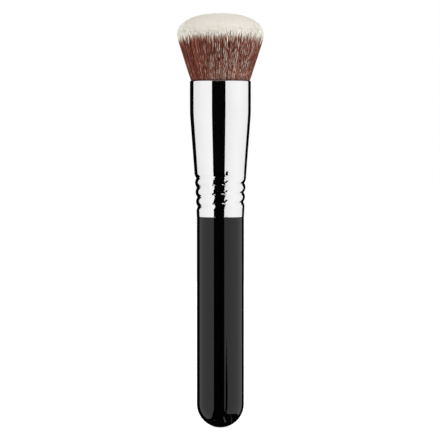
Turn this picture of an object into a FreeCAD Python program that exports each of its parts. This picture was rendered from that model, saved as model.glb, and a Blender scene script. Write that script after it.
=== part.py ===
import FreeCAD, Part
import math
import os
from FreeCAD import Vector

# Kabuki makeup brush: a dense round tuft in a spirally crimped ferrule on a lacquered wooden handle.
# Millimetres, +Z up along the brush, origin at the lowest point of the round butt.

# Handle, lacquered all over outside the ferrule
handle_diameter = 18.4
handle_length = 82.4
handle_edge_round = 0.25

# Tenon, the end of the handle that goes up past the crimp, and the resin collar round its top
tenon_reach = 4.0
tenon_lead = 1.2
tenon_fit = 0.02
collar_height = 2.5

# Ferrule outline: a slim crimped cone up to the neck, a wider cone above it, then a straight barrel
ferrule_length = 53.1
ferrule_wall = 0.4
seam_diameter = 18.44
neck_diameter = 20.16
mouth_diameter = 23.8
barrel_length = 12.85
bend_reach = 1.8
lip_round = 0.28

# Spiral crimp rolled into the slim cone, with round crests and narrow valleys
crimp_pitch = 3.7
crimp_depth = 0.68
crimp_start_height = 2.2
crimp_turns = 4.0
crimp_run_out_turns = 0.5
crimp_run_out_share = 1.15
crimp_crest_shares = (0.12, 0.6)
crimp_points_per_turn = 16

# Tuft outside the ferrule: straight splayed sides up to a shoulder, then a dome
tuft_rise = 26.5
tuft_diameter = 33.8
tuft_shoulder_rise = 17.4
dome_power = 2.3
filament_rings = 7
filament_fill_share = 0.86
filament_sides = 6
filament_point = 0.6

# Tuft inside the ferrule
tuft_clearance = 0.1
root_depth = 19.0
slug_length = 10.0
slug_edge = 0.2
waist_diameter = 17.2
waist_length = 5.6

# Band that binds the root, and the resin plug under it
band_width = 2.4
band_thickness = 0.6
band_clearance = 0.02
plug_thickness = 5.0
plug_overlap = 2.2

# Excess of a cutting shape past the body that it cuts
overrun = 1.0

# Heights along the brush
seam_z = handle_length
mouth_z = seam_z + ferrule_length
barrel_z = mouth_z - barrel_length
crimp_z = seam_z + crimp_start_height
neck_z = crimp_z + crimp_pitch * crimp_turns
tenon_z = neck_z + tenon_reach
root_z = mouth_z - root_depth
waist_z = root_z + waist_length
slug_z = root_z + slug_length
shoulder_z = mouth_z + tuft_shoulder_rise
dome_height = tuft_rise - tuft_shoulder_rise

# Radii and slopes
handle_r = handle_diameter / 2
seam_r = seam_diameter / 2
neck_r = neck_diameter / 2
mouth_r = mouth_diameter / 2
tuft_r = tuft_diameter / 2
waist_r = waist_diameter / 2
tuft_mouth_r = mouth_r - ferrule_wall - tuft_clearance
slim_slope = (neck_r - seam_r) / (neck_z - seam_z)
cone_slope = (mouth_r - neck_r) / (barrel_z - neck_z)
root_slope = (tuft_mouth_r - waist_r) / (mouth_z - waist_z)
tenon_inset = crimp_depth + ferrule_wall + tenon_fit

ORIGIN = Vector(0, 0, 0)
UP = Vector(0, 0, 1)


def polar(r, angle, z):
    return Vector(r * math.cos(angle), r * math.sin(angle), z)


def polygon_face(points):
    return Part.Face(Part.makePolygon(points + points[:1]))


def turned(outline):
    """Solid of revolution about the brush's axis, from radius and height pairs."""
    return polygon_face([Vector(r, 0, z) for r, z in outline]).revolve(ORIGIN, UP, 360)


def closed_solid(faces):
    """Solid bounded by faces that meet edge to edge."""
    skin = Part.makeCompound(faces)
    skin.sewShape()
    solid = Part.Solid(skin.Shells[0])
    if solid.Volume < 0:
        solid.reverse()
    return solid


def rounded_edge(r, z, edge):
    """Outline corners of a small round at the top of a wall."""
    slant = edge * (1 - math.sqrt(0.5))
    return [(r, z - edge), (r - slant, z - slant), (r - edge, z)]


def slab(low, high):
    """Round slab that reaches past every wall between two heights."""
    return Part.makeCylinder(mouth_r, high - low, Vector(0, 0, low))


def slim_r(z):
    """Outer radius of the slim cone at a height."""
    return seam_r + slim_slope * (z - seam_z)


def ferrule_body(inset, low, crown):
    """Body inside the ferrule's outline without its crimp, drawn in by an inset, under a crown of corners."""
    bend = (mouth_r - cone_slope * bend_reach - inset, barrel_z - bend_reach)
    return turned([(0, low), (slim_r(low) - inset, low), (neck_r - inset, neck_z), bend,
                   (mouth_r - inset, barrel_z + bend_reach)] + crown + [(0, crown[-1][1])])


def bore_body():
    """Inside of the ferrule, past both of its ends, without its crimp."""
    return ferrule_body(ferrule_wall, seam_z - overrun, [(mouth_r - ferrule_wall, mouth_z + overrun)])


def run_out(turn):
    """How far the spiral stands out of its full depth, from 0 inside its length to 1 at both ends."""
    inside = max(0, min(1, min(turn, crimp_turns - turn) / crimp_run_out_turns))
    return 1 - inside * inside * (3 - 2 * inside)


def crimp_rail(inset, drop, up):
    """Edge of the right-handed spiral on the slim cone, below its surface by a drop and shifted up."""
    points = []
    count = round(crimp_turns * crimp_points_per_turn)
    for step in range(count + 1):
        turn = crimp_turns * step / count
        z = crimp_z + crimp_pitch * turn
        r = slim_r(z) - inset - drop + crimp_depth * crimp_run_out_share * run_out(turn)
        points.append(polar(r, 2 * math.pi * turn, z + up))
    curve = Part.BSplineCurve()
    curve.interpolate(points)
    return curve.toShape()


def crimp_section():
    """Corners of the valley between two round crests, closed outside: drop below the surface and height."""
    half = crimp_pitch / 2
    crest_r = (half ** 2 + crimp_depth ** 2) / (2 * crimp_depth)
    flank = []
    for share in crimp_crest_shares:
        off = half * share
        flank.append((crest_r - math.sqrt(crest_r ** 2 - off ** 2), half - off))
    upper = [(drop, up) for drop, up in reversed(flank)]
    lower = [(drop, -up) for drop, up in flank]
    outside = [(-overrun, flank[0][1]), (-overrun, -flank[0][1])]
    return lower + [(crimp_depth, 0)] + upper + outside


def crimp_cutter(inset):
    """Spiral that the crimp takes out of the ferrule's body."""
    rails = [crimp_rail(inset, drop, up) for drop, up in crimp_section()]
    flanks = [Part.makeRuledSurface(near, far) for near, far in zip(rails, rails[1:] + rails[:1])]
    ends = [polygon_face([rail.Vertexes[end].Point for rail in rails]) for end in (0, 1)]
    return closed_solid(flanks + ends)


def make_ferrule():
    outer = ferrule_body(0, seam_z, rounded_edge(mouth_r, mouth_z, lip_round)).cut(crimp_cutter(0))
    return outer.cut(bore_body().cut(crimp_cutter(ferrule_wall)))


def tenon():
    low = seam_z - overrun
    lead_z = tenon_z - tenon_lead
    return turned([(0, low), (slim_r(low) - tenon_inset, low), (slim_r(lead_z) - tenon_inset, lead_z),
                   (slim_r(lead_z) - tenon_inset - tenon_lead, tenon_z), (0, tenon_z)])


def make_handle():
    """Rod with a hemispherical butt, a rounded upper edge and the tenon."""
    pole = Vector(0, 0, 0)
    side = Vector(handle_r, 0, handle_r)
    slant = Vector(handle_r * math.sqrt(0.5), 0, handle_r - handle_r * math.sqrt(0.5))
    butt = Part.Arc(pole, slant, side).toShape()
    crown = [Vector(r, 0, z) for r, z in rounded_edge(handle_r, seam_z, handle_edge_round)]
    lines = Part.makePolygon([side] + crown + [Vector(0, 0, seam_z), pole]).Edges
    return Part.Face(Part.Wire([butt] + lines)).revolve(ORIGIN, UP, 360).fuse(tenon())


def make_tenon_collar():
    return bore_body().common(slab(tenon_z - collar_height, tenon_z)).cut(tenon())


def dome_z(r):
    """Height of the tuft's dome at a radius."""
    return shoulder_z + dome_height * max(0, 1 - (r / tuft_r) ** dome_power) ** (1 / dome_power)


def filament_ring(centre_r, angle, flat, z):
    """Filament outline at one height, one flat facing outwards."""
    corner = flat / 2 / math.cos(math.pi / filament_sides)
    turns = [angle + math.pi * (2 * side + 1) / filament_sides for side in range(filament_sides)]
    return [polar(centre_r, angle, 0) + polar(corner, turn, z) for turn in turns]


def filament(centre_r, angle, flat):
    """One filament: up through the mouth, splayed out to the dome, with a pointed end."""
    slug_share = (tuft_mouth_r - root_slope * (mouth_z - slug_z) - slug_edge) / tuft_mouth_r
    splay_share = tuft_r / tuft_mouth_r
    top_r = centre_r * splay_share
    top_flat = flat * splay_share
    rings = [filament_ring(centre_r * slug_share, angle, flat * slug_share, slug_z - slug_edge),
             filament_ring(centre_r, angle, flat, mouth_z),
             filament_ring(top_r, angle, top_flat, dome_z(top_r + top_flat / 2) - filament_point)]
    point = polar(top_r, angle, dome_z(top_r))
    faces = [polygon_face(rings[0])]
    for side in range(filament_sides):
        near = (side + 1) % filament_sides
        for low, high in zip(rings, rings[1:]):
            faces.append(polygon_face([low[side], low[near], high[near], high[side]]))
        faces.append(polygon_face([rings[-1][side], rings[-1][near], point]))
    return closed_solid(faces)


def slug():
    """Root of the tuft, where the filaments are drawn together and bound."""
    top_r = waist_r + root_slope * (slug_z - waist_z)
    return turned([(0, root_z), (waist_r, root_z), (waist_r, waist_z), (top_r, slug_z), (0, slug_z)])


def make_bristle_tuft():
    spacing = tuft_mouth_r / (filament_rings + filament_fill_share / 2)
    flat = spacing * filament_fill_share
    filaments = [filament(0, 0, flat)]
    for number in range(1, filament_rings + 1):
        around = filament_sides * number
        for step in range(around):
            filaments.append(filament(spacing * number, 2 * math.pi * step / around, flat))
    return slug().fuse(filaments)


def make_binding_band():
    inner = waist_r + band_clearance
    outer = inner + band_thickness
    low = waist_z - band_width
    return turned([(inner, low), (outer, low), (outer, waist_z), (inner, waist_z)])


def make_glue_plug():
    return bore_body().common(slab(root_z - plug_thickness, root_z + plug_overlap)).cut(slug())


def main():
    os.makedirs("parts", exist_ok=True)
    nodes = {
        "handle": make_handle,
        "ferrule": make_ferrule,
        "tenon_collar": make_tenon_collar,
        "glue_plug": make_glue_plug,
        "binding_band": make_binding_band,
        "bristle_tuft": make_bristle_tuft,
    }
    for node, make in nodes.items():
        shape = make()
        shape.exportStep("parts/" + node + ".step")
        print(node, "valid", shape.isValid(), "solids", len(shape.Solids), "volume", round(shape.Volume, 1))


main()
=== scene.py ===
import math

import bpy
import numpy as np
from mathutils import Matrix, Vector


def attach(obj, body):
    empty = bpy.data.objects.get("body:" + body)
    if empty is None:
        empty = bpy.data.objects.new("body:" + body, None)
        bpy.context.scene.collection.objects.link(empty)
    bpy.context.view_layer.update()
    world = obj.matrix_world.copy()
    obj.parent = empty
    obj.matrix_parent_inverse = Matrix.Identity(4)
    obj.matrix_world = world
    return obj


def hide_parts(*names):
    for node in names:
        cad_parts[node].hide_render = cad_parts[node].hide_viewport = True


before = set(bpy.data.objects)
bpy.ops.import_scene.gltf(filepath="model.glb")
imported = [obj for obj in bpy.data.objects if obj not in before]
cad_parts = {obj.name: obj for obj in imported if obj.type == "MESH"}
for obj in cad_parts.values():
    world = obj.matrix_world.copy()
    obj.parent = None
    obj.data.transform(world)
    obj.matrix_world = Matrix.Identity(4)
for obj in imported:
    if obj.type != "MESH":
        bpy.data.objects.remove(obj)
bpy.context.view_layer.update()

# Lengths are metres, in the frame of the CAD part: +Z along the brush, origin at the butt
MM = 0.001
SEED = 20
TURN = 2 * math.pi

# Ferrule, as in the part's source
SEAM_Z, MOUTH_Z = 82.4 * MM, 135.5 * MM
SEAM_R, NECK_R, MOUTH_R = 9.22 * MM, 10.08 * MM, 11.9 * MM
BARREL_Z = 122.65 * MM
BEND_SOFTNESS = 0.1 * MM
WALL = 0.4 * MM
LIP_ROUND = 0.28 * MM
FOOT_ROUND = 0.12 * MM
CRIMP_Z = 84.6 * MM
CRIMP_PITCH, CRIMP_DEPTH = 3.7 * MM, 0.68 * MM
CRIMP_TURNS, CRIMP_RUN_OUT = 4.0, 0.5
CRIMP_CUSP = 0.035
NECK_Z = CRIMP_Z + CRIMP_PITCH * CRIMP_TURNS

# Fineness of the ferrule's mesh
FERRULE_COLUMNS = 288
ROUND_ROWS, SMOOTH_ROWS, INSIDE_ROWS = 7, 60, 80
CRIMP_ROW_STEP = 0.1 * MM

# Tuft as a whole
TUFT_R, TUFT_MOUTH_R = 16.9 * MM, 11.38 * MM
SHOULDER_RISE, TUFT_RISE = 17.4 * MM, 26.5 * MM
DOME_POWER = 2.3
SIDE_LEAN = math.atan2(TUFT_R - TUFT_MOUTH_R, SHOULDER_RISE)
ROOT_DEPTH, WAIST_DEPTH, WAIST_R = 18.8 * MM, 13.4 * MM, 8.5 * MM

# Filaments. Their levels are -1 at the root, 0 at the ferrule's mouth and 1 at the tip
STRANDS = 30000
WAIST_LEVEL = -WAIST_DEPTH / ROOT_DEPTH
OUTER_LEVELS = np.array([-1, WAIST_LEVEL, 0, 0.13, 0.26, 0.39, 0.52, 0.65, 0.78, 0.89, 0.96, 1])
INNER_LEVELS = np.array([-1, WAIST_LEVEL, 0.3, 0.75, 0.95, 1])
OUTER_SHARE = 0.88
OUTER_SIDES = ("right", "back", "left", "front")
INNER_LAYERS = ("core", "inner", "middle", "under")
EDGE_CROWD, EDGE_POWER, EDGE_STEPS = 0.25, 8, 401
ANGLE_JITTER = 0.02
TIP_TRIM, TIP_JITTER = 0.2 * MM, 0.06 * MM
STRAND_BOW = 0.10
STRAND_DRIFT, DRIFT_POWER = 0.08 * MM, 1.4
STRAND_WAVE, STRAND_WAVES = 0.055 * MM, (1.4, 3.0)
FREE_LEVEL = 0.25
GIRTH_LEVELS = [-1.0, -0.7, 0.0, 0.5, 0.8, 0.95, 1.0]
GIRTH_MM = [0.05, 0.05, 0.07, 0.088, 0.128, 0.138, 0.09]
GIRTH_SPREAD = (0.85, 1.15)

# Share of the tuft's smooth form in the filaments' normals, and where that form turns into the dome
MASS_SHARE = 0.85
DOME_LEVEL, DOME_BLEND = 0.7, 0.25

# Break between brown shafts and cream tips
BREAK_RISE, BREAK_ARCH = 17.2 * MM, 5.8 * MM
BREAK_SPREAD, BREAK_TAIL = 0.9 * MM, 0.9 * MM
BREAK_CLUMPS = 0.8 * MM
CLUMP_WAVES, CLUMP_LAYERS = (40, 150), 6
CREAM_LEAST, CREAM_FADE = (0.05 * MM, 0.9 * MM), 2.0 * MM

# Paleness of the filaments, the share of painted glints in their flecks, folded back into 0 to 1, with a pale
# side to the front and one to the back
PAINTED_GLINT_BEARING = math.radians(17)
PALE_MEAN, PAINTED_GLINT_LOBES, PALE_CLUMPS, PALE_SPREAD = 0.49, 0.34, 0.2, 0.08
PALE_MOST = 0.999

# Map of the filaments: a column for each paleness, and the break half-way up
STRAND_MAP, BAKE_MAP = "Strand", "OFBake"
STRAND_COLUMNS = 256
COLUMN_PLACES = np.array([0.3, 0.5, 0.7])
ROOT_SHOWN = 0.14
MAP_MARGIN = 0.01

# Flecks on the filaments: random tone, and painted glints on the paler ones. Factor and base give their
# contrast from the square of the paleness, and their level from the paleness itself
FLECK_POWER, FLECK_COUNT, FLECK_COLUMN_STEP = 0.45, 22.0, 3.7
TONE_AND_GLINT_CONTRAST = (2.0, 0.4)
TONE_AND_GLINT_LEVEL = (0.35, 0.145)
COLUMN_TONE = 0.3

# Changes up a filament, as start and end of V and the values there: painted glints low down, the shaded root
# and the fade from shaft to tip
LOW_PAINTED_GLINTS = (0.30, 0.18, 0.0, 0.09)
ROOT_SHADE = (0.066, 0.105, 0.25, 1.0)
TIP_FADE = (0.43, 0.52, 0.0, 1.0)

# Cards that only reflections see: rows of height, and start and end bearing in degrees
CARD_R = 0.6
CARD_COLUMNS = 33
FRONT_CARD = [(-0.9, -60, 46), (-0.35, -36, 23), (-0.12, -32, 19.2), (0.4, -32, 19.2),
              (0.65, -36, 23), (1.2, -60, 46)]
THIN_CARD = [(-0.9, 25.4, 35.4), (-0.03, 25.4, 35.4), (-0.003, 29.6, 31.2)]
BACK_CARD = [(-0.9, 130, 238), (1.2, 130, 238)]

# Card under the butt: bearing in degrees and reach in millimetres
LOW_CARD_Z = -20 * MM
LOW_CARD = [(-180, 50), (-130, 40), (-100, 24), (-75, 20), (-55, 24), (-42, 36), (-34, 65), (-20, 90),
            (0, 100), (12, 90), (20, 50), (40, 36), (70, 40), (100, 50), (130, 50)]

# Bright bars under the butt: name, ends and width in millimetres, strength
GLINT_Z = -15 * MM
GLINTS = [("near_glint", ((6.6, -17.6), (6.7, -2.0)), 2.0, 1.0),
          ("far_glint", ((22.6, -14.4), (13.8, 11.0)), 2.5, 0.25),
          ("left_glint", ((-8.5, -7.7), (-8.5, -6.2)), 1.5, 0.8)]

# Lamps: name, place, size, power in watts
LAMP_AIM = Vector((0, 0, 0.1))
LAMPS = [("right_softbox", (0.98, -0.56, 0.45), (0.9, 0.9), 9.3),
         ("left_softbox", (-0.98, -0.56, 0.45), (0.9, 0.9), 7.6),
         ("top_softbox", (0.0, 0.0, 1.3), (0.9, 0.9), 2.7),
         ("back_softbox", (0.0, 1.15, 0.45), (1.2, 0.9), 4.5)]

# Floor and world. What reflections see of the world: place round it, with 0.5 at the camera, and brightness
FLOOR_REACH = 6.0
FLOOR_GREY, FLOOR_GLOW = 0.5, 0.75
WORLD_LIGHT = 0.57
WORLD_GLOSS = [(0.14, 0.85), (0.22, 0.9), (0.34, 0.98), (0.42, 1.0), (0.55, 0.85), (0.63, 0.95), (0.71, 1.0),
               (0.8, 0.95), (0.86, 0.88)]

# Camera, from the photo's size and the estimated size of its pixels
CAMERA_PLACE = (0, -1.22, 0.112)
CAMERA_AIM = Vector((-0.00015, 0, 0.0812))
CAMERA_SENSOR = 36.0
CAMERA_CLIP = (0.01, 50.0)
PHOTO_PIXELS, PIXEL_SIZE, PIXEL_TRIM = 440, 0.39 * MM, 0.9976

WHITE = (1, 1, 1, 1)


def smooth_step(x):
    x = np.clip(x, 0, 1)
    return x * x * (3 - 2 * x)


# Node materials

def feed(tree, node, inputs):
    """Links sockets into a node's inputs, and sets plain values on its other inputs."""
    for socket, source in inputs.items():
        if isinstance(source, bpy.types.NodeSocket):
            tree.links.new(source, node.inputs[socket])
        else:
            node.inputs[socket].default_value = source


def add(tree, kind, inputs=None, **settings):
    """A new node with its settings and inputs."""
    node = tree.nodes.new(kind)
    for key, value in settings.items():
        setattr(node, key, value)
    feed(tree, node, inputs or {})
    return node


def sums(tree, operation, *values):
    return add(tree, "ShaderNodeMath", dict(enumerate(values)), operation=operation).outputs[0]


def ramp(tree, factor, stops):
    """Colour socket of a ramp with these places and colours."""
    node = add(tree, "ShaderNodeValToRGB", {"Fac": factor})
    elements = node.color_ramp.elements
    while len(elements) < len(stops):
        elements.new(0.5)
    for element, (place, colour) in zip(elements, stops):
        element.position = place
        element.color = (*colour, 1)
    return node.outputs["Color"]


def span(tree, value, start, end, low=0.0, high=1.0, kind="LINEAR"):
    """Socket that goes from low to high while value goes from start to end."""
    inputs = {"Value": value, "From Min": start, "From Max": end, "To Min": low, "To Max": high}
    return add(tree, "ShaderNodeMapRange", inputs, interpolation_type=kind).outputs["Result"]


def blend(tree, factor, first, second):
    inputs = {0: factor, "A": first, "B": second}
    return add(tree, "ShaderNodeMix", inputs, data_type="RGBA").outputs["Result"]


def noise(tree, place, scale, detail, dimensions="3D"):
    inputs = {"Vector": place, "Scale": scale, "Detail": detail}
    return add(tree, "ShaderNodeTexNoise", inputs, noise_dimensions=dimensions).outputs["Fac"]


def object_place(tree):
    return add(tree, "ShaderNodeTexCoord").outputs["Object"]


def grey(value):
    return (value, value, value)


def new_material(name):
    material = bpy.data.materials.new(name)
    material.use_nodes = True
    tree = material.node_tree
    return material, tree, tree.nodes["Principled BSDF"]


def chrome_material():
    """Mirror chrome, a little uneven where the crimp was rolled."""
    material, tree, shader = new_material("mirror_chrome")
    place = object_place(tree)
    haze = noise(tree, place, 90.0, 5.0)
    height = add(tree, "ShaderNodeSeparateXYZ", {"Vector": place}).outputs["Z"]
    rise = span(tree, height, CRIMP_Z, CRIMP_Z + 2 * MM)
    fall = span(tree, height, NECK_Z + MM, NECK_Z - MM)
    rolled = sums(tree, "MULTIPLY", sums(tree, "MULTIPLY", rise, fall), 0.8)
    chatter = noise(tree, place, 1100.0, 1.0)
    bump = add(tree, "ShaderNodeBump", {"Height": chatter, "Distance": 0.04 * MM, "Strength": rolled})
    feed(tree, shader, {
        "Base Color": ramp(tree, haze, [(0.35, (0.90, 0.90, 0.905)), (0.65, (0.93, 0.93, 0.932))]),
        "Metallic": 1.0,
        "Roughness": span(tree, haze, 0.3, 0.7, 0.02, 0.05),
        "Normal": bump.outputs["Normal"]})
    return material


def lacquer_material():
    material, tree, shader = new_material("black_lacquer")
    place = object_place(tree)
    cloud = noise(tree, place, 60.0, 6.0)
    peel = noise(tree, place, 420.0, 2.0)
    bump = add(tree, "ShaderNodeBump", {"Height": peel, "Strength": 0.02, "Distance": 0.2 * MM})
    feed(tree, shader, {
        "Base Color": ramp(tree, cloud, [(0.3, (0.0004, 0.0004, 0.0005)), (0.7, (0.0012, 0.0011, 0.0012))]),
        "Roughness": span(tree, cloud, 0.3, 0.7, 0.03, 0.06),
        "Normal": bump.outputs["Normal"],
        "Specular IOR Level": 0.43})
    return material


def resin_material():
    material, tree, shader = new_material("amber_resin")
    cloud = noise(tree, object_place(tree), 250.0, 4.0)
    feed(tree, shader, {
        "Base Color": ramp(tree, cloud, [(0.3, (0.42, 0.31, 0.15)), (0.7, (0.6, 0.48, 0.28))]),
        "Roughness": 0.2})
    return material


def tape_material():
    material, tree, shader = new_material("binding_tape")
    inputs = {"Vector": object_place(tree), "Scale": 900.0, "Distortion": 1.5}
    weave = add(tree, "ShaderNodeTexWave", inputs, bands_direction="Z").outputs["Fac"]
    feed(tree, shader, {
        "Base Color": ramp(tree, weave, [(0.2, (0.5, 0.47, 0.4)), (0.8, (0.75, 0.72, 0.66))]),
        "Roughness": 0.85})
    return material


def strand_material():
    """Brown shafts, cream tips, painted glints: the map's U is a filament's paleness and V runs from root to
    tip.
    """
    material, tree, shader = new_material("two_tone_filament")
    place = add(tree, "ShaderNodeUVMap", uv_map=STRAND_MAP).outputs["UV"]
    split = add(tree, "ShaderNodeSeparateXYZ", {"Vector": place}).outputs
    painted_glint_share, along = split["X"], split["Y"]
    number = sums(tree, "FLOOR", sums(tree, "MULTIPLY", painted_glint_share, float(STRAND_COLUMNS)))
    column_tone = add(tree, "ShaderNodeTexWhiteNoise", {"W": number}, noise_dimensions="1D").outputs["Value"]
    spot = add(tree, "ShaderNodeCombineXYZ", {
        "X": sums(tree, "MULTIPLY", number, FLECK_COLUMN_STEP),
        "Y": sums(tree, "MULTIPLY", sums(tree, "POWER", along, FLECK_POWER), FLECK_COUNT)})
    fleck = noise(tree, spot.outputs[0], 1.0, 1.0, "2D")
    # Painted glints: paler filaments get lighter flecks with more contrast, more so low down
    painted_glint_strength = sums(tree, "MULTIPLY", painted_glint_share, painted_glint_share)
    contrast = sums(tree, "MULTIPLY_ADD", painted_glint_strength, *TONE_AND_GLINT_CONTRAST)
    level = sums(tree, "MULTIPLY_ADD", painted_glint_share, *TONE_AND_GLINT_LEVEL)
    level = sums(tree, "MULTIPLY_ADD", column_tone, COLUMN_TONE, level)
    level = sums(tree, "MULTIPLY_ADD", painted_glint_strength, span(tree, along, *LOW_PAINTED_GLINTS), level)
    tone = sums(tree, "MULTIPLY_ADD", sums(tree, "SUBTRACT", fleck, 0.5), contrast, level)
    # The lighter, greyer stops from 0.64 up are painted glints on the paler filaments
    brown = ramp(tree, tone, [
        (0.2, (0.060, 0.014, 0.008)), (0.4, (0.172, 0.037, 0.020)), (0.54, (0.30, 0.078, 0.044)),
        (0.64, (0.38, 0.18, 0.13)), (0.74, (0.51, 0.355, 0.29)), (0.86, (0.62, 0.51, 0.445))])
    cream = ramp(tree, tone, [(0.2, (0.90, 0.845, 0.745)), (0.8, (0.95, 0.91, 0.835))])
    root_shade = span(tree, along, *ROOT_SHADE, "SMOOTHSTEP")
    shaft = add(tree, "ShaderNodeVectorMath", {0: brown, "Scale": root_shade}, operation="SCALE")
    fade = span(tree, along, *TIP_FADE, "SMOOTHSTEP")
    tan = ramp(tree, fade, [(0.0, (0.60, 0.38, 0.25)), (0.9, grey(1.0))])
    tip = add(tree, "ShaderNodeVectorMath", {0: cream, 1: tan}, operation="MULTIPLY")
    feed(tree, shader, {
        "Base Color": blend(tree, fade, shaft.outputs["Vector"], tip.outputs["Vector"]),
        "Roughness": span(tree, fleck, 0.3, 0.7, 0.5, 0.32),
        "Specular IOR Level": 0.16,
        "Sheen Weight": 0.06,
        "Sheen Roughness": 0.4})
    return material


# Meshes

def mesh_object(name, vertices, faces, material):
    """Smooth mesh from an array of vertices and arrays of faces."""
    mesh = bpy.data.meshes.new(name)
    mesh.from_pydata(vertices.tolist(), [], [face for rows in faces for face in rows.tolist()])
    mesh.shade_smooth()
    mesh.materials.append(material)
    piece = bpy.data.objects.new(name, mesh)
    bpy.context.collection.objects.link(piece)
    return piece


def soft_least(first, second, softness):
    return (first + second - np.hypot(first - second, softness)) / 2


def outline_r(z):
    """Outer radius of the ferrule without its crimp."""
    slim = SEAM_R + (NECK_R - SEAM_R) * (z - SEAM_Z) / (NECK_Z - SEAM_Z)
    cone = NECK_R + (MOUTH_R - NECK_R) * (z - NECK_Z) / (BARREL_Z - NECK_Z)
    return soft_least(-soft_least(-slim, -cone, BEND_SOFTNESS), MOUTH_R, BEND_SOFTNESS)


def groove(angle, z):
    """Depth of the right-handed spiral crimp, with round crests and narrow valleys."""
    around = angle / TURN
    along = (z - CRIMP_Z) / CRIMP_PITCH - around
    number = np.round(along)
    off = np.hypot(along - number, CRIMP_CUSP)
    turn = number + around
    fade = smooth_step(np.minimum(turn, CRIMP_TURNS - turn) / CRIMP_RUN_OUT)
    return CRIMP_DEPTH * fade * np.clip(1 - 2 * off, 0, 1) ** 2


def ferrule_profile():
    """Height and inset of the rows of the ferrule's closed skin, up the outside and down the inside."""
    quarter = np.linspace(0, math.pi / 2, ROUND_ROWS)
    crimp_top = NECK_Z + CRIMP_PITCH / 2
    foot = [(SEAM_Z + FOOT_ROUND * (1 - math.cos(a)), FOOT_ROUND * (1 - math.sin(a))) for a in quarter]
    side = [(z, 0) for z in np.arange(SEAM_Z + 2 * FOOT_ROUND, crimp_top, CRIMP_ROW_STEP)]
    side += [(z, 0) for z in np.linspace(crimp_top, MOUTH_Z - LIP_ROUND, SMOOTH_ROWS)]
    lip = [(MOUTH_Z - LIP_ROUND * (1 - math.sin(a)), LIP_ROUND * (1 - math.cos(a))) for a in quarter[1:]]
    inside = [(z, WALL) for z in np.linspace(MOUTH_Z - LIP_ROUND / 2, SEAM_Z, INSIDE_ROWS)]
    return np.array(foot + side + lip + inside)


def make_ferrule(material):
    rows = ferrule_profile()
    angles = np.arange(FERRULE_COLUMNS) * TURN / FERRULE_COLUMNS
    angle, z = np.meshgrid(angles, rows[:, 0])
    inset = np.repeat(rows[:, 1:2], FERRULE_COLUMNS, axis=1)
    r = outline_r(z) - groove(angle, z) - inset
    vertices = np.stack([r * np.cos(angle), r * np.sin(angle), z], axis=-1).reshape(-1, 3)
    index = np.arange(len(vertices)).reshape(len(rows), FERRULE_COLUMNS)
    beside = np.roll(index, -1, axis=1)
    quads = np.stack([index, beside, np.roll(beside, -1, axis=0), np.roll(index, -1, axis=0)], axis=-1)
    piece = mesh_object("chrome_ferrule", vertices, [quads.reshape(-1, 4)], material)
    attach(piece, "root")
    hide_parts("ferrule")


def dome_rise(r):
    share = np.clip(1 - (r / TUFT_R) ** DOME_POWER, 0, 1)
    return SHOULDER_RISE + (TUFT_RISE - SHOULDER_RISE) * share ** (1 / DOME_POWER)


def strand_paths(rng):
    """Places, lengths and random sways of all filaments, which crowd together near the edge of the dome."""
    number = np.arange(STRANDS)
    radii = np.linspace(0, 1, EDGE_STEPS)
    filled = radii ** 2 + EDGE_CROWD * radii ** EDGE_POWER
    share = np.interp((number + 0.5) / STRANDS, filled / filled[-1], radii)
    angle = number * math.pi * (3 - math.sqrt(5)) + rng.normal(0, ANGLE_JITTER, STRANDS)
    tip_r = share * TUFT_R
    tip_z = dome_rise(tip_r) - TIP_TRIM + rng.normal(0, TIP_JITTER, STRANDS)
    sway = np.concatenate([rng.normal(0, 1, (4, STRANDS)), rng.uniform(*STRAND_WAVES, (1, STRANDS)),
                           rng.uniform(0, TURN, (2, STRANDS))])
    return share, angle, tip_r, tip_z, sway


def clumps(angle, rng):
    """A random value round the brush that neighbouring filaments share, with a spread of 1."""
    waves = rng.integers(*CLUMP_WAVES, (CLUMP_LAYERS, 1))
    phases = rng.uniform(0, TURN, (CLUMP_LAYERS, 1))
    return np.cos(waves * angle + phases).sum(axis=0) * math.sqrt(2 / CLUMP_LAYERS)


def strand_centres(share, angle, tip_r, tip_z, sway, levels):
    """Centre lines of the filaments at the levels."""
    root_r = share * TUFT_MOUTH_R
    s = levels[None, :]
    up = np.maximum(s, 0)
    out = root_r[:, None] + (tip_r - root_r)[:, None] * (up * (1 + STRAND_BOW) - STRAND_BOW * up * up)
    drawn_in = np.interp(levels, [WAIST_LEVEL, 0], [WAIST_R / TUFT_MOUTH_R, 1])
    out = np.where(s < 0, root_r[:, None] * drawn_in[None, :], out)
    free = smooth_step(up / FREE_LEVEL)
    waves = np.sin(TURN * sway[4, :, None] * up + sway[5:, :, None])
    drift = STRAND_DRIFT * sway[:2, :, None] * up ** DRIFT_POWER
    shift = drift + STRAND_WAVE * sway[2:4, :, None] * waves * free
    x = out * np.cos(angle)[:, None] + shift[0]
    y = out * np.sin(angle)[:, None] + shift[1]
    z = MOUTH_Z + np.where(s < 0, ROOT_DEPTH, tip_z[:, None]) * s
    return np.stack([x, y, z], axis=-1)


def mass_normals(centre, levels):
    """Normals of the whole tuft's smooth form: its cone low down, its dome at the tips."""
    flat = centre[..., :2]
    r = np.linalg.norm(flat, axis=-1, keepdims=True)
    outward = flat / np.maximum(r, 0.01 * MM)
    cone = np.concatenate([outward * math.cos(SIDE_LEAN), np.full_like(r, -math.sin(SIDE_LEAN))], axis=-1)
    dome_height = TUFT_RISE - SHOULDER_RISE
    height = np.maximum(centre[..., 2:] - MOUTH_Z - SHOULDER_RISE, 0)
    dome = np.concatenate([outward * (r / TUFT_R) ** (DOME_POWER - 1) / TUFT_R,
                           (height / dome_height) ** (DOME_POWER - 1) / dome_height], axis=-1)
    dome /= np.maximum(np.linalg.norm(dome, axis=-1, keepdims=True), 1e-9)
    share = smooth_step((levels - DOME_LEVEL) / DOME_BLEND)[None, :, None]
    return cone * (1 - share) + dome * share


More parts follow.
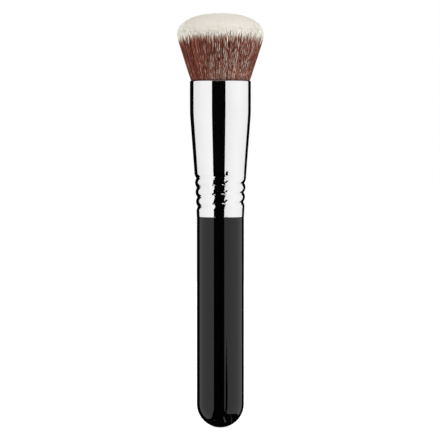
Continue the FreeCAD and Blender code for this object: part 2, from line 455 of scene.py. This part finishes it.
def map_heights(levels, length, cream):
    """V of each filament's rings: from the root over the break at one half to the tip."""
    from_tip = length[:, None] * (1 - np.maximum(levels, 0)[None, :])
    cream = cream[:, None]
    shaft = length[:, None] * (1 + ROOT_SHOWN) - cream
    along = np.where(from_tip > cream, 0.5 * (1 - (from_tip - cream) / shaft), 1 - 0.5 * from_tip / cream)
    along *= 1 + np.minimum(levels, 0)[None, :]
    return MAP_MARGIN + (1 - 2 * MAP_MARGIN) * along


def make_strands(name, centre, levels, length, cream, painted_glint_share, rng, material):
    """Closed three-sided tapered tubes on the given centre lines."""
    count, rings = centre.shape[:2]
    radius = np.interp(levels, GIRTH_LEVELS, GIRTH_MM) * MM
    girth = radius[None, :] * rng.uniform(*GIRTH_SPREAD, (count, 1))
    corner = rng.uniform(0, TURN, (count, 1, 1)) + np.arange(3)[None, None, :] * TURN / 3
    ring = np.stack([np.cos(corner), np.sin(corner), np.zeros_like(corner)], axis=-1)
    vertices = centre[:, :, None, :] + ring * girth[:, :, None, None]
    index = np.arange(count * rings * 3).reshape(count, rings, 3)
    beside = np.roll(index, -1, axis=2)
    quads = np.stack([index[:, :-1], beside[:, :-1], beside[:, 1:], index[:, 1:]], axis=-1).reshape(-1, 4)
    root_cap = index[:, 0, ::-1]
    tip_cap = index[:, -1]
    piece = mesh_object(name, vertices.reshape(-1, 3), [quads, root_cap, tip_cap], material)
    mass = mass_normals(centre, levels)[:, :, None, :]
    normals = ring * (1 - MASS_SHARE) + mass * MASS_SHARE
    normals /= np.linalg.norm(normals, axis=-1, keepdims=True)
    piece.data.normals_split_custom_set_from_vertices(normals.reshape(-1, 3).tolist())
    column = np.floor(painted_glint_share * STRAND_COLUMNS)
    across = (column[:, None, None] + COLUMN_PLACES[None, None, :]) / STRAND_COLUMNS
    along = map_heights(levels, length, cream)[:, :, None]
    u = np.broadcast_to(across, (count, rings, 3)).reshape(-1)
    v = np.broadcast_to(along, (count, rings, 3)).reshape(-1)
    corners = np.empty(len(piece.data.loops), dtype=np.int32)
    piece.data.loops.foreach_get("vertex_index", corners)
    places = np.stack([u[corners], v[corners]], axis=-1).astype(np.float32).ravel()
    for layer in (STRAND_MAP, BAKE_MAP):
        piece.data.uv_layers.new(name=layer).data.foreach_set("uv", places)
    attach(piece, "root")
    return piece


def make_tuft(material):
    """The tuft in eight pieces: the outer filaments by side and the inner ones by depth."""
    rng = np.random.default_rng(SEED)
    share, angle, tip_r, tip_z, sway = strand_paths(rng)
    facing = np.sin(angle) ** 2
    break_z = BREAK_RISE + BREAK_ARCH * facing + rng.normal(0, BREAK_SPREAD, STRANDS)
    break_z -= rng.exponential(BREAK_TAIL, STRANDS) * (1 + facing)
    break_z += BREAK_CLUMPS * clumps(angle, rng)
    least = rng.uniform(*CREAM_LEAST, STRANDS) * np.exp(-np.maximum(break_z - tip_z, 0) / CREAM_FADE)
    cream = np.maximum(tip_z - break_z, least)
    # Paleness, which paints glints into the flecks: paler to the front and back, with random clumps and
    # spread
    lobes = np.cos(2 * (angle + math.pi / 2 - PAINTED_GLINT_BEARING))
    painted_glint_share = PALE_MEAN + PAINTED_GLINT_LOBES * lobes + PALE_CLUMPS * clumps(angle, rng)
    painted_glint_share = np.abs(painted_glint_share + rng.normal(0, PALE_SPREAD, STRANDS))
    painted_glint_share = np.clip(1 - np.abs(1 - painted_glint_share), 0, PALE_MOST)
    outer = share >= OUTER_SHARE
    quarter = np.floor(angle / TURN * len(OUTER_SIDES) + 0.5) % len(OUTER_SIDES)
    depth = np.arange(STRANDS) * len(INNER_LAYERS) // np.count_nonzero(~outer)
    groups = [(side, outer & (quarter == number), OUTER_LEVELS) for number, side in enumerate(OUTER_SIDES)]
    groups += [(layer, ~outer & (depth == number), INNER_LEVELS) for number, layer in enumerate(INNER_LAYERS)]
    for part, chosen, levels in groups:
        centre = strand_centres(share[chosen], angle[chosen], tip_r[chosen], tip_z[chosen],
                                sway[:, chosen], levels)
        piece = make_strands(f"tuft_{part}_filaments", centre, levels, tip_z[chosen], cream[chosen],
                             painted_glint_share[chosen], rng, material)
    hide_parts("bristle_tuft")


# Studio

def reflected_only(card):
    """Hides a stage object from everything but reflections."""
    card.visible_camera = False
    card.visible_diffuse = False
    card.visible_transmission = False
    card.visible_shadow = False


def make_arc_card(name, rows, material):
    """Tall curved card round the brush. Bearings start at the camera and grow to its right."""
    vertices = []
    for height, start, end in rows:
        bearings = np.radians(np.linspace(start, end, CARD_COLUMNS))
        x, y = CARD_R * np.sin(bearings), -CARD_R * np.cos(bearings)
        vertices.append(np.stack([x, y, np.full_like(x, height)], axis=-1))
    index = np.arange(len(rows) * CARD_COLUMNS).reshape(len(rows), CARD_COLUMNS)
    quads = np.stack([index[:-1, :-1], index[:-1, 1:], index[1:, 1:], index[1:, :-1]], axis=-1)
    reflected_only(mesh_object(name, np.concatenate(vertices), [quads.reshape(-1, 4)], material))


def make_low_card(material):
    """Dark card under the butt, reaching further to the front and right than to the left."""
    bearing, reach = np.array(LOW_CARD).T
    around, reach = np.radians(bearing), reach * MM
    height = np.full_like(reach, LOW_CARD_Z)
    rim = np.stack([reach * np.sin(around), -reach * np.cos(around), height], axis=-1)
    reflected_only(mesh_object("low_card", rim, [np.arange(len(reach))[None, :]], material))


def make_cards():
    material, tree, shader = new_material("black_card")
    feed(tree, shader, {"Base Color": (*grey(0.002), 1), "Specular IOR Level": 0.0})
    make_arc_card("front_card", FRONT_CARD, material)
    make_arc_card("thin_card", THIN_CARD, material)
    make_arc_card("back_card", BACK_CARD, material)
    make_low_card(material)


def make_glint(name, ends, width, strength):
    """Short bright bar under the butt that only reflections see."""
    material, tree, shader = new_material(name)
    feed(tree, shader, {"Base Color": (0, 0, 0, 1), "Specular IOR Level": 0.0,
                        "Emission Color": WHITE, "Emission Strength": strength})
    along = ends[1] - ends[0]
    across = np.array([-along[1], along[0]]) / np.linalg.norm(along) * width / 2
    flat = np.array([ends[0] - across, ends[0] + across, ends[1] + across, ends[1] - across])
    corners = np.concatenate([flat, np.full((4, 1), GLINT_Z)], axis=1)
    reflected_only(mesh_object(name, corners, [np.array([[0, 1, 2, 3]])], material))


def seen_rays(tree):
    """Sockets that are 1 for the rays that show a background, and for reflections alone."""
    path = add(tree, "ShaderNodeLightPath").outputs
    direct = sums(tree, "MAXIMUM", path["Is Camera Ray"], path["Is Glossy Ray"])
    return sums(tree, "MAXIMUM", direct, path["Is Transmission Ray"]), path["Is Glossy Ray"]


def make_floor():
    material, tree, shader = new_material("studio_floor")
    seen, _ = seen_rays(tree)
    glow = sums(tree, "MULTIPLY", seen, FLOOR_GLOW)
    feed(tree, shader, {"Base Color": (*grey(FLOOR_GREY), 1), "Roughness": 1.0, "Specular IOR Level": 0.0,
                        "Emission Color": WHITE, "Emission Strength": glow})
    corners = FLOOR_REACH * np.array([(-1, -1, 0), (1, -1, 0), (1, 1, 0), (-1, 1, 0)])
    floor = mesh_object("studio_floor", corners, [np.array([[0, 1, 2, 3]])], material)
    floor.visible_glossy = False


def make_world():
    """White where the camera sees it, graded round the brush for reflections, and dimmer as a light."""
    world = bpy.data.worlds.new("studio")
    bpy.context.scene.world = world
    world.use_nodes = True
    tree = world.node_tree
    tree.nodes.clear()
    seen, glossy = seen_rays(tree)
    direction = add(tree, "ShaderNodeTexCoord").outputs["Generated"]
    split = add(tree, "ShaderNodeSeparateXYZ", {"Vector": direction}).outputs
    bearing = sums(tree, "ARCTAN2", split["X"], sums(tree, "MULTIPLY", split["Y"], -1.0))
    around = sums(tree, "MULTIPLY_ADD", bearing, 1 / TURN, 0.5)
    gloss = ramp(tree, around, [(place, grey(value)) for place, value in WORLD_GLOSS])
    shown = blend(tree, glossy, WHITE, gloss)
    light = add(tree, "ShaderNodeBackground", {"Color": WHITE, "Strength": WORLD_LIGHT}).outputs[0]
    backdrop = add(tree, "ShaderNodeBackground", {"Color": shown, "Strength": 1.0}).outputs[0]
    mix = add(tree, "ShaderNodeMixShader", {0: seen, 1: light, 2: backdrop}).outputs[0]
    add(tree, "ShaderNodeOutputWorld", {"Surface": mix})
    world.cycles.sampling_method = "NONE"


def aim_at(thing, target):
    thing.rotation_euler = (target - thing.location).to_track_quat("-Z", "Y").to_euler()


def make_lamp(name, place, size, power):
    light = bpy.data.lights.new(name, "AREA")
    light.shape = "RECTANGLE"
    light.size, light.size_y = size
    light.energy = power
    lamp = bpy.data.objects.new(name, light)
    bpy.context.collection.objects.link(lamp)
    lamp.location = place
    aim_at(lamp, LAMP_AIM)
    lamp.visible_glossy = False
    lamp.visible_camera = False


def make_studio():
    make_cards()
    for name, ends, width, strength in GLINTS:
        make_glint(name, np.array(ends) * MM, width * MM, strength)
    make_floor()
    make_world()
    for lamp in LAMPS:
        make_lamp(*lamp)


def make_camera():
    lens = bpy.data.cameras.new("camera")
    camera = bpy.data.objects.new("camera", lens)
    bpy.context.collection.objects.link(camera)
    camera.location = CAMERA_PLACE
    aim_at(camera, CAMERA_AIM)
    distance = (CAMERA_AIM - camera.location).length
    lens.sensor_width = CAMERA_SENSOR
    lens.lens = PIXEL_TRIM * CAMERA_SENSOR * distance / (PHOTO_PIXELS * PIXEL_SIZE)
    lens.clip_start, lens.clip_end = CAMERA_CLIP
    bpy.context.scene.camera = camera


def dress_nodes():
    """Procedural materials for the CAD nodes that stay."""
    resin = resin_material()
    materials = {"handle": lacquer_material(), "tenon_collar": resin, "glue_plug": resin,
                 "binding_band": tape_material()}
    for node, material in materials.items():
        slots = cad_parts[node].data.materials
        for number in range(len(slots)):
            slots[number] = material


make_camera()
make_studio()
dress_nodes()
make_ferrule(chrome_material())
make_tuft(strand_material())

bpy.context.scene.view_settings.view_transform = "Standard"
